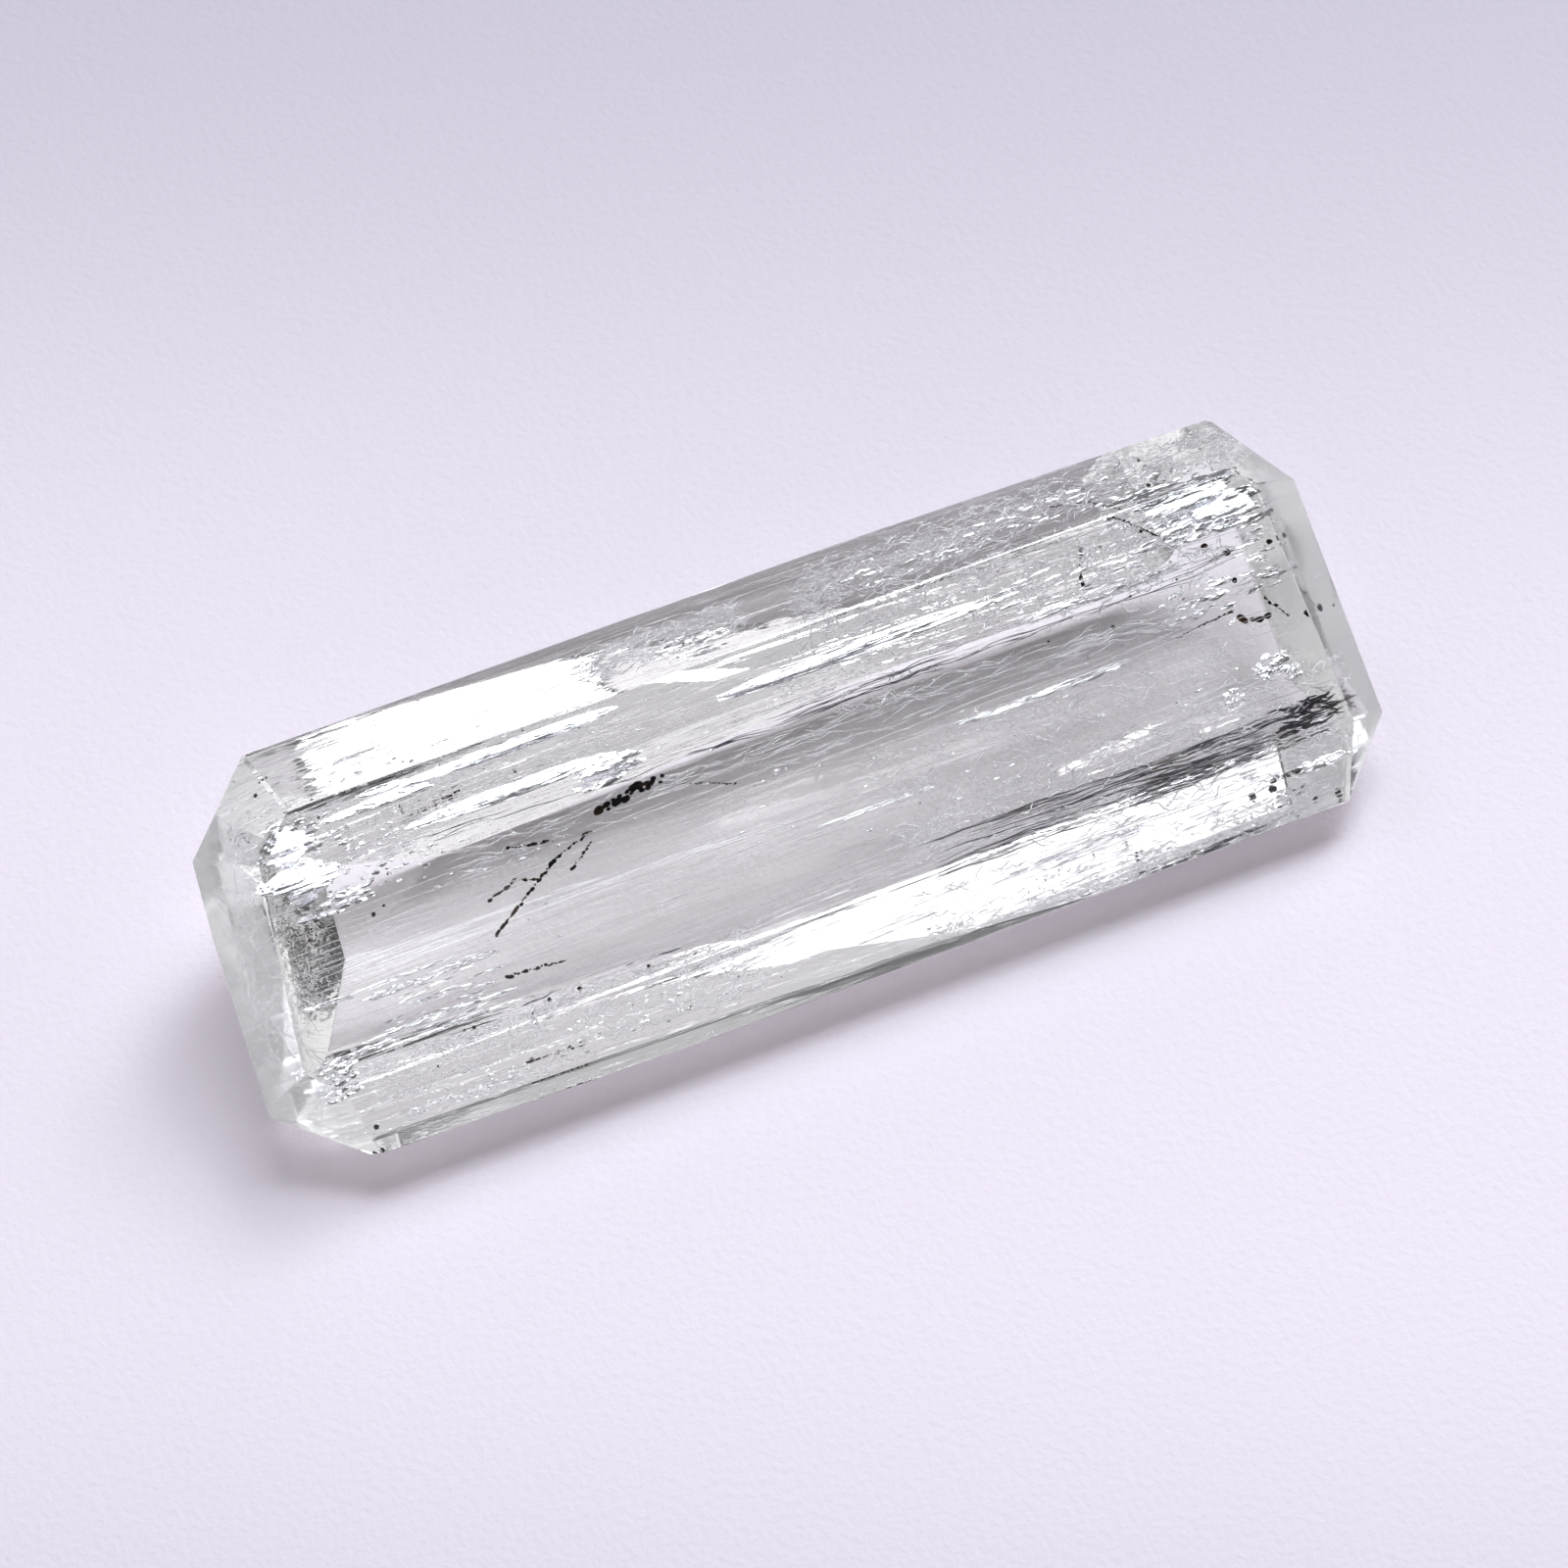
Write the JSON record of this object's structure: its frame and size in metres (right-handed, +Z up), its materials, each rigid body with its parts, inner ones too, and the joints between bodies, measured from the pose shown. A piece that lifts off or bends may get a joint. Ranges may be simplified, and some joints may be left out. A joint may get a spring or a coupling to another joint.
{
  "type": "faceted scolecite",
  "caption": "Long colourless step-cut gem with cut corners, a flat table and a stepped pavilion, lying on one pavilion facet.",
  "frame": {"origin": "on the surface that the stone lies on, under the middle of its box", "axes": "+X along the stone's length, +Z up from the surface it lies on; the table leans towards -Y"},
  "size_m": [0.0172, 0.0056, 0.0037],
  "materials": {
    "crystal": "polished, clear and colourless, IOR 1.51, with fine growth tubes and dark needles inside"
  },
  "bodies": {
    "root": {"scolecite_crystal": "crystal"}
  },
  "joints": []
}
